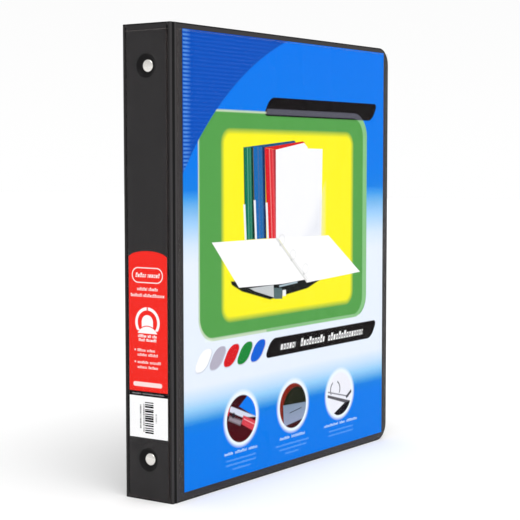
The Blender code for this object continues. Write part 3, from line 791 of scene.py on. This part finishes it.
# ---- the print on the spine label ----
def label_print():
    """Spine label: red with a ring pictogram and rows of marks, and a white foot with bars."""
    art = Art("spine_label_print", 0.3)
    at = art.millimetres()
    x = art.math("SUBTRACT", LABEL_CORNER[0], art.dot(at, (0.0, 1.0, 0.0)))
    y = art.math("SUBTRACT", art.dot(at, (0.0, 0.0, 1.0)), LABEL_CORNER[1])
    art.sheet(x, y)
    pale = (255, 236, 232)
    art.colour = (242, 44, 36)
    art.paint(art.box(-5.0, 40.0, -5.0, 28.9, 0.2, 0.3), (18, 14, 16))
    art.paint(art.box(-5.0, 40.0, -5.0, 25.9, 0.2, 0.3), (252, 252, 253))
    art.paint(art.words([(2.0, 9.0), (10.0, 26.5)], 27.4, 0.8, 0.4), (170, 168, 170), 0.8)

    # bars and marks that stand for a code, running up the foot
    def marks(left, right, low, high, pitch, seed):
        """Bars across a column, one for each pitch, each of its own thickness."""
        row = art.math("DIVIDE", y, pitch)
        value = art.add("TexWhiteNoise", {"W": art.math("ADD", art.math("FLOOR", row), seed)},
                        noise_dimensions="1D").outputs[0]
        fill = art.math("FRACT", row)
        bar = art.math("LESS_THAN", fill, art.between(value, 0.0, 1.0, 0.4, 0.85))
        return art.both(art.box(left, right, low, high, 0.1, 0.2), bar)

    art.paint(marks(11.9, 18.5, 2.4, 22.4, 1.45, 7.3), (18, 16, 18))
    art.paint(marks(10.4, 11.6, 3.4, 21.4, 1.25, 3.1), (80, 78, 82), 0.75)
    art.paint(marks(7.9, 9.1, 5.4, 20.4, 0.95, 11.7), (38, 36, 38), 0.9)
    art.paint(marks(20.0, 21.1, 9.6, 15.6, 0.9, 2.3), (110, 108, 112), 0.6)

    # plain outline round a heading bar, then two lines
    outline = art.without(art.box(2.4, 26.2, 95.8, 105.4, 4.7, 0.35),
                          art.box(3.0, 25.6, 96.4, 104.8, 4.2, 0.35))
    art.paint(outline, (255, 244, 240), 0.95)
    art.paint(art.words([(5.2, 13.4), (14.6, 23.8)], 100.7, 2.8, 0.3, 0.2), pale)
    art.paint(art.words([(6.4, 14.2), (15.2, 22.4)], 92.2, 2.0), pale, 0.95)
    art.paint(art.words([(1.4, 10.4), (11.2, 27.4)], 88.3, 2.0), pale, 0.95)

    # pictogram: a ring on its base with a raised middle
    white = (255, 252, 251)
    ring = art.hoop(14.2, 71.6, 8.45, 1.9, 0.3)
    ring = art.both(ring, art.between(y, 66.4, 66.7))
    ring = art.without(ring, art.box(13.6, 14.8, 76.0, 84.0, 0.1))
    art.paint(ring, white)
    dome = art.box(9.8, 18.5, 64.0, 76.2, 4.3)
    art.paint(art.without(dome, art.disc(14.15, 60.2, 9.5)), white)
    art.paint(art.both(art.disc(14.15, 60.2, 8.9), art.between(y, 64.7, 65.0)), white)
    art.paint(art.words([(6.8, 13.2), (14.2, 17.0), (18.0, 21.4)], 63.2, 1.8), white)
    art.paint(art.words([(7.4, 12.0), (13.0, 21.0)], 60.8, 1.8), white)
    left = 6.2
    for up, right in ((54.4, 20.0), (51.6, 22.0), (47.0, 24.4), (43.9, 22.2)):
        middle = (left + right) / 2
        art.paint(art.words([(left, middle - 0.5), (middle + 0.5, right)], up, 1.7), pale, 0.9)
    art.paint(art.either(art.disc(4.6, 54.4, 0.6), art.disc(4.6, 47.0, 0.6)), pale, 0.8)
    art.paint(art.box(3.0, 25.2, 31.8, 34.6, 1.3, 0.4), pale, 0.9)
    return art.coated(art.noise(at, 30.0, 2.0), 0.24, 0.2, 0.3, 0.03)


def printed_sheets():
    """The sheet behind the front film and the label behind the spine film."""
    left, low = INSERT_CORNER
    span_a, span_b = (left, left + INSERT_SIZE[0]), (low, low + INSERT_SIZE[1])
    sheet = pad("front_insert_printed", span_a, span_b, (0.24, 0.36), NO_EDGES,
                cover_place(-1), [front_print()])
    stands_for(sheet, "front_cover", "front_insert_sheet")
    label = refined("spine_label_printed", "spine_label", label_print(), 0.0)
    for vert in label.data.vertices:
        vert.co.y += LABEL_SHIFT * MM
    stands_for(label, "spine", "spine_label")


# ---- panels ----
panel_vinyl = vinyl("panel_vinyl", (34, 32, 33), 0.42, 1.0, 0.2)
cover_vinyl = vinyl("cover_vinyl", (38, 35, 36), 0.42, 1.0, 0.24)
# Painted highlight: a lighter, glossier copy of the panel vinyl on the hinge bead, so its crest reads
# bright.
bead_highlight_vinyl = vinyl("bead_highlight_vinyl", (40, 38, 39), 0.36, 1.0, 0.4)
# Vinyl without film, darkened further as painted shade: used in the grooves, the rivet dishes and
# along the panels' edges.
shaded_bare_vinyl = vinyl("shaded_bare_vinyl", (17, 16, 17), 0.5, 1.0, 0.12)
liner_vinyl = vinyl("liner_vinyl", (34, 33, 34), 0.5, 1.4, 0.3)
pocket_vinyl = vinyl("pocket_vinyl", (40, 39, 40), 0.38, 0.8, 0.35)
film = clear_film("clear_film", 0.02, (60, 60, 62))
film_rim = clear_film("clear_film_rim", 0.09, (112, 98, 94))
film_lip = clear_film("clear_film_lip", 0.22, (120, 112, 110))
boards = cardboard("chipboard")

# Depths of the visible and the hidden face below a panel's outer plane.
SKIN_DEPTHS = (0.4, 0.7)
FILM_DEPTHS = (0.0, 0.2)
LINER_DEPTHS = (2.83, 2.53)
POCKET_DEPTHS = (3.2, 3.0)
CARD_DEPTHS = (0.76, 2.47)

# Sizes of the drawn layers.
FILM_HALF = 15.9
FILM_EDGE = 0.9
FILM_WELD = 1.1
FILM_LIP = 0.5
FILM_TOP = HEIGHT - 4.0
CARD_HALF = 14.7
CARD_END = 4.2
DISH_RADIUS = 7.4
RIVET_HOLES = [(0.0, MID_Z - RIVET_Z), (0.0, MID_Z + RIVET_Z)]
POCKET_SPAN_A = (40.0, 243.3)
POCKET_SPAN_B = (4.2, 128.0)
# Width along the panels' outer edges that takes the darker vinyl of painted shade.
SHADED_EDGE = 0.85

# Edge profiles: (distance in from the edge, depth) pairs of the two faces.
RIM = ([(0.0, 0.66), (0.1, 0.58), (0.3, 0.55), (0.85, 0.55), (1.9, 0.55), (2.3, 0.52), (3.5, 0.4)],
       [(0.0, 0.72), (1.9, 0.72), (3.5, 0.7)])
HINGE = ([(0.0, 0.42), (0.5, 0.4)], [(0.0, 0.7), (0.5, 0.7)])
GROOVE = ([(0.0, 0.6), (0.3, 0.52), (0.7, 0.5), (1.0, 0.56), (1.3, 0.82), (1.6, 1.06),
           (1.9, 1.14), (2.2, 1.1), (2.4, 0.88), (2.55, 0.6), (2.7, 0.44), (2.9, 0.4)],
          [(0.0, 0.84), (0.3, 0.8), (0.7, 0.8), (1.0, 0.9), (1.3, 1.12), (1.6, 1.3),
           (2.2, 1.34), (2.4, 1.16), (2.6, 0.86), (2.9, 0.7)])
FILM_RIM = ([(0.0, 0.46), (0.1, 0.36), (1.1, 0.36), (1.5, 0.32), (2.7, 0.0)],
            [(0.0, 0.5), (1.1, 0.5), (1.5, 0.48), (2.7, 0.2)])
FILM_GROOVE = ([(0.0, 1.0), (0.25, 1.0), (0.4, 0.86), (0.6, 0.42), (0.75, 0.1), (0.9, 0.0)],
               [(0.0, 1.05), (0.25, 1.05), (0.45, 0.95), (0.65, 0.58), (0.8, 0.3), (0.9, 0.2)])
FILM_HINGE = ([(0.0, 0.34), (0.1, 0.28), (0.5, 0.16), (1.2, 0.0)],
              [(0.0, 0.38), (0.5, 0.34), (1.2, 0.2)])
LINER_RIM = ([(0.0, 1.02), (1.4, 1.06), (1.9, 1.2), (2.5, 1.75), (3.0, 2.3), (3.5, 2.68), (4.1, 2.83)],
             [(0.0, 0.76), (1.5, 0.78), (2.2, 1.1), (2.9, 1.8), (3.5, 2.35), (4.1, 2.53)])
LINER_GROOVE = ([(0.0, 1.4), (0.9, 1.42), (1.2, 1.6), (1.6, 2.1), (2.0, 2.6), (2.4, 2.83)],
                [(0.0, 1.32), (0.9, 1.34), (1.3, 1.5), (1.7, 1.9), (2.1, 2.35), (2.4, 2.53)])
POCKET_WELD = ([(0.0, 2.93), (0.3, 2.9), (1.8, 2.9), (2.2, 2.94), (3.2, 3.2)],
               [(0.0, 2.85), (1.8, 2.85), (3.2, 3.0)])
POCKET_HEM = ([(0.0, 3.28), (0.3, 3.34), (1.8, 3.34), (2.4, 3.2)],
              [(0.0, 2.98), (1.8, 2.98), (2.4, 3.0)])


def clear_sheet(name, span_a, left, right, place, corner=None):
    """A clear film over a panel, welded along three edges and open at the top."""
    span_b = (FILM_EDGE, FILM_TOP)

    def slot(a, b):
        if span_b[1] - b < FILM_LIP:
            return 2
        return 1 if min(a - span_a[0], span_a[1] - a, b - span_b[0]) < FILM_WELD else 0

    return pad(name, span_a, span_b, FILM_DEPTHS, (left, right, FILM_RIM, None), place,
               [film, film_rim, film_lip], corner, slot)


def spine_panel():
    """Skin, film and liner of the spine, the first two with holes for the rivets."""
    span_a, span_b = (-SPINE_HALF, SPINE_HALF), (0.0, HEIGHT)

    # Painted shade: the groove beside each hinge and the top and bottom edges take the darker vinyl.
    def shade_slot(a, b):
        in_groove = 1.15 < SPINE_HALF - abs(a) < 2.5
        return 1 if in_groove or min(b, HEIGHT - b) < SHADED_EDGE else 0

    skin = pad("spine_skin", span_a, span_b, SKIN_DEPTHS, (GROOVE, GROOVE, RIM, RIM),
               spine_place, [panel_vinyl, shaded_bare_vinyl], slot_of=shade_slot)
    drill(skin, RIVET_HOLES, DISH_RADIUS)
    stands_for(skin, "spine", "spine_outer_vinyl")
    sheet = clear_sheet("spine_clear_film", (-FILM_HALF, FILM_HALF), FILM_GROOVE, FILM_GROOVE,
                        spine_place)
    drill(sheet, RIVET_HOLES, DISH_RADIUS - 0.15)
    stands_for(sheet, "spine", "spine_overlay_film")
    liner = pad("spine_liner_skin", span_a, span_b, LINER_DEPTHS,
                (LINER_GROOVE, LINER_GROOVE, LINER_RIM, LINER_RIM), spine_place, [liner_vinyl])
    stands_for(liner, "spine", "spine_inner_liner")


def cover_panel(side, prefix):
    """Skin, film, liner and inner pocket of a cover, and its board's material."""
    place, body = cover_place(side), prefix + "_cover"
    span_a, span_b = (COVER_START, COVER_DEPTH), (0.0, HEIGHT)
    far = {"high": COVER_CORNER, "low": COVER_CORNER}

    # Painted shade: the open edge and the top and bottom edges take the darker vinyl.
    def shade_slot(a, b):
        return 1 if min(COVER_DEPTH - a, b, HEIGHT - b) < SHADED_EDGE else 0

    skin = pad(prefix + "_skin", span_a, span_b, SKIN_DEPTHS, (HINGE, RIM, RIM, RIM), place,
               [cover_vinyl, shaded_bare_vinyl], far, shade_slot)
    stands_for(skin, body, prefix + "_outer_vinyl")
    sheet = clear_sheet(prefix + "_clear_film", (COVER_START + FILM_EDGE, COVER_DEPTH - FILM_EDGE),
                        FILM_HINGE, FILM_RIM, place, {"low": COVER_CORNER - FILM_EDGE})
    stands_for(sheet, body, prefix + "_overlay_film")
    liner = pad(prefix + "_liner_skin", span_a, span_b, LINER_DEPTHS, (LINER_RIM,) * 4, place,
                [liner_vinyl], far)
    stands_for(liner, body, prefix + "_inner_liner")
    pocket = pad(prefix + "_pocket_skin", POCKET_SPAN_A, POCKET_SPAN_B, POCKET_DEPTHS,
                 (POCKET_WELD, POCKET_WELD, POCKET_WELD, POCKET_HEM), place, [pocket_vinyl],
                 {"low": COVER_CORNER - 4.0})
    stands_for(pocket, body, prefix + "_inner_pocket")
    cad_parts[prefix + "_board"].data.materials[0] = boards


def spine_card():
    """The spine's board, drawn with larger rivet holes than the CAD's."""
    card = pad("spine_card", (-CARD_HALF, CARD_HALF), (CARD_END, HEIGHT - CARD_END),
               CARD_DEPTHS, NO_EDGES, spine_place, [boards])
    drill(card, RIVET_HOLES, DISH_RADIUS + 0.1)
    stands_for(card, "spine", "spine_board")


def hinge_strip(side, prefix):
    """Bead round the corner and the folding groove between spine and cover, with a painted highlight
    on the bead and painted shade in the groove.
    """
    place = cover_place(side)

    def on_cover(pairs):
        return [place(u, 0.0, depth)[:2] for u, depth in pairs]

    def on_spine(pairs):
        return [(x, side * y) for x, y in pairs]

    outer = on_spine([(0.6, 17.6), (0.66, 17.75), (0.78, 17.93), (0.95, 18.1), (1.15, 18.25),
                      (1.38, 18.38)])
    outer += on_cover([(1.5, 0.62), (1.68, 0.66), (1.84, 0.78), (2.0, 0.96), (2.18, 1.12),
                       (2.42, 1.22), (2.7, 1.25), (2.98, 1.22), (3.24, 1.1), (3.46, 0.9),
                       (3.68, 0.68), (3.96, 0.5), (4.3, 0.43), (COVER_START, 0.42)])
    inner = on_cover([(COVER_START, 1.02), (4.4, 1.1), (3.7, 1.36), (3.1, 1.52), (2.6, 1.54),
                      (2.1, 1.44)])
    inner += on_spine([(1.95, 18.0), (1.62, 17.8), (1.45, 17.6)])
    section = outer + inner
    count, groove = len(section), range(8, 17)
    centre = (sum(p[0] for p in section) / count, sum(p[1] for p in section) / count)
    lines = [0.0, 0.12, 0.35] + [HEIGHT * i / 24 for i in range(1, 24)]
    lines += [HEIGHT - 0.35, HEIGHT - 0.12, HEIGHT]
    points = []
    for z in lines:
        end = min(z, HEIGHT - z)
        shrink = 0.1 if end < 0.05 else (0.04 if end < 0.2 else 0.0)
        for x, y in section:
            points.append((x + (centre[0] - x) * shrink, y + (centre[1] - y) * shrink, z))
    faces = joined_rings([1.0] * len(lines), count)
    faces.append(tuple(reversed(range(count))))
    faces.append(tuple(range(len(points) - count, len(points))))
    # The groove's faces take the darker vinyl as painted shade in the crease; the others take the
    # lighter bead vinyl as a painted highlight.
    slots = [1 if i in groove else 0 for i in range(count)] * (len(lines) - 1) + [0, 0]
    strip = build(prefix + "_hinge_strip", points, faces, [bead_highlight_vinyl, shaded_bare_vinyl], 60.0, slots)
    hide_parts(prefix + "_hinge_web")
    start, end = (tuple(metres((x, side * BEND_Y, 0.0))) for x in BEND_X)
    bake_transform(strip)
    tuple(start)
    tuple(end)


# ---- rivets and ring metal ----
nickel = metal("nickel_plate", (206, 205, 202), 0.22, (1.0, 1.0, 0.05))
wire = metal("ring_wire", (214, 214, 211), 0.14)
chrome = metal("rivet_head", (224, 222, 217), 0.16)
spring = metal("spring_steel", (178, 177, 174), 0.38, (1.0, 1.0, 0.05))


def rivets():
    """Dished vinyl round each rivet, darkened as painted shade in the recess, and the rivet itself."""
    for end, word in ((-1, "bottom"), (1, "top")):
        z, top = MID_Z + end * RIVET_Z, HOUSING_TOP
        dish = lathe("rivet_dish_" + word, 0.0, z, [
            (0.4, DISH_RADIUS), (0.45, 7.15), (0.62, 6.85), (0.95, 6.5), (1.4, 6.15), (1.8, 5.75),
            (2.04, 5.2), (2.12, 4.6), (2.12, 2.6), (2.32, 2.6), (2.34, 5.5), (2.12, 6.1),
            (1.5, 6.6), (0.9, 7.0), (0.7, DISH_RADIUS),
        ], [shaded_bare_vinyl], closed=True)
        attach(dish, "spine")
        head = lathe("rivet_" + word + "_turned", 0.0, z, [
            (0.6, 0.0), (0.61, 0.7), (0.66, 1.4), (0.78, 2.1), (0.97, 2.75), (1.22, 3.3),
            (1.52, 3.75), (1.84, 4.05), (2.02, 4.15), (2.09, 4.0), (2.11, 3.8), (2.11, 2.3),
            (top + 0.03, 2.3), (top + 0.03, 3.3), (top + 0.22, 3.52), (top + 0.45, 3.5),
            (top + 0.64, 3.2), (top + 0.7, 2.6), (top + 0.62, 1.9), (top + 0.3, 1.5),
            (top - 2.0, 1.3), (top - 2.0, 0.0),
        ], [chrome])
        stands_for(head, "spine", "rivet_" + word)


def leaf_frame(side):
    """A leaf's pivot, and its directions inwards and upwards."""
    tilt = math.radians(LEAF_TILT)
    inward = Vector((-math.sin(tilt), -side * math.cos(tilt)))
    upward = Vector((math.cos(tilt), -side * math.sin(tilt)))
    return Vector((PIVOT[0], side * PIVOT[1])), inward, upward


def half_ring(name, side, offset):
    """Ring half with a staked root and a tongue (side -1) or a socket at its tip."""
    pivot, inward, upward = leaf_frame(side)
    root = pivot + inward * ROOT_REACH
    centre = Vector((pivot.x + RING_RISE, 0.0))

    def on_ring(angle):
        outward = Vector((-math.cos(angle), side * math.sin(angle)))
        return centre + outward * RING_RADIUS, Vector((math.sin(angle), side * math.cos(angle)))

    path = [(root + upward * rise, upward, radius) for rise, radius in (
        (-0.95, 0.0), (-0.95, 0.6), (-0.88, 0.76), (-0.8, 0.8), (0.62, 0.8), (0.62, 1.0),
        (0.68, 1.15), (0.8, WIRE_RADIUS))]

    # leg: a cubic curve from the root to where the round part begins
    join = math.asin(LEG_HALF_GAP / RING_RADIUS)
    start = root + upward
    finish, tangent = on_ring(join)
    one, two = start + upward * 1.9, finish - tangent * 2.4
    steps = 16
    for i in range(steps):
        t = i / steps
        p = (start * (1 - t) ** 3 + one * 3 * t * (1 - t) ** 2
             + two * 3 * t * t * (1 - t) + finish * t ** 3)
        d = ((one - start) * 3 * (1 - t) ** 2 + (two - one) * 6 * t * (1 - t)
             + (finish - two) * 3 * t * t)
        path.append((p, d.normalized(), WIRE_RADIUS))

    # round part up to the tip, its bevel, and the tongue or the socket
    steps = 48
    stop = math.pi - TIP_HALF_GAP / RING_RADIUS
    for i in range(steps + 1):
        path.append((*on_ring(join + (stop - join) * i / steps), WIRE_RADIUS))
    tip, last, _ = path.pop()
    path.append((tip - last * TIP_BEVEL, last, WIRE_RADIUS))
    path.append((tip, last, WIRE_RADIUS - TIP_BEVEL))
    if side < 0:
        tail = [(0.0, 0.55), (0.8, 0.5), (1.0, 0.36), (1.05, 0.2), (1.05, 0.0)]
    else:
        tail = [(0.0, 0.8), (-0.1, 0.76), (-1.5, 0.76), (-1.5, 0.0)]
    path += [(tip + last * reach, last, radius) for reach, radius in tail]
    return tube(name, path, MID_Z + offset, [wire])


def ring_metal():
    """Housing, levers, leaves and the three rings."""
    for node, body, mat, soften in (
        ("ring_housing", "spine", nickel, 0.12),
        ("trigger_top", "trigger_top", nickel, 0.25),
        ("trigger_bottom", "trigger_bottom", nickel, 0.25),
        ("leaf_plate_left", "leaf_left", spring, 0.08),
        ("leaf_plate_right", "leaf_right", spring, 0.08),
    ):
        stands_for(refined(node + "_plated", node, mat, soften), body, node)
    for side, word in ((-1, "left"), (1, "right")):
        for row, offset in enumerate(RING_Z):
            node = f"half_ring_{word}_{row + 1}"
            stands_for(half_ring(node + "_wire", side, offset), "leaf_" + word, node)


# ---- surroundings ----
def studio():
    """Pale floor, pale world, one large soft lamp, and the photograph's camera."""
    mesh = bpy.data.meshes.new("floor")
    reach = 6.0
    mesh.from_pydata(
        [(-reach, -reach, 0.0), (reach, -reach, 0.0), (reach, reach, 0.0), (-reach, reach, 0.0)],
        [], [(0, 1, 2, 3)])
    floor = bpy.data.objects.new("floor", mesh)
    bpy.context.scene.collection.objects.link(floor)
    net = Net("floor_paper", 0.9)
    mottle = net.noise(net.millimetres(), 300.0, 2.0)
    net.set(Base_Color=net.mix(mottle, (246, 246, 246), (249, 249, 249)), Specular_IOR_Level=0.0)
    mesh.materials.append(net.mat)

    world = bpy.data.worlds.new("studio")
    bpy.context.scene.world = world
    world.use_nodes = True
    nodes, links = world.node_tree.nodes, world.node_tree.links
    direction = nodes.new("ShaderNodeTexCoord").outputs["Generated"]
    split = nodes.new("ShaderNodeSeparateXYZ")
    links.new(direction, split.inputs[0])
    fade = nodes.new("ShaderNodeMapRange")
    links.new(split.outputs["Z"], fade.inputs[0])
    for socket, value in ((1, 0.0), (2, 1.0), (3, 1.0), (4, 0.78)):
        fade.inputs[socket].default_value = value
    links.new(fade.outputs[0], nodes["Background"].inputs["Strength"])
    nodes["Background"].inputs["Color"].default_value = (1.0, 1.0, 1.0, 1.0)

    lamp = bpy.data.lights.new("softbox", "SUN")
    lamp.energy, lamp.angle = 1.25, math.radians(50.0)
    key = bpy.data.objects.new("softbox", lamp)
    key.location = (-0.5, -0.75, 2.0)
    aim = Vector((0.0, 0.0, 0.15)) - key.location
    key.rotation_euler = aim.to_track_quat("-Z", "Y").to_euler()
    bpy.context.scene.collection.objects.link(key)

    lens = bpy.data.cameras.new("camera")
    lens.lens, lens.sensor_width, lens.clip_start = 91.327, 36.0, 0.01
    camera = bpy.data.objects.new("camera", lens)
    camera.location = (-0.75804, -0.49396, 0.20819)
    camera.rotation_euler = [math.radians(a) for a in (85.778, 0.032, -57.04)]
    bpy.context.scene.collection.objects.link(camera)
    bpy.context.scene.camera = camera
    bpy.context.scene.view_settings.view_transform = "Standard"


spine_panel()
for sign, cover in COVERS:
    cover_panel(sign, cover)
spine_card()
for sign, cover in COVERS:
    hinge_strip(sign, cover)
rivets()
ring_metal()
printed_sheets()
studio()
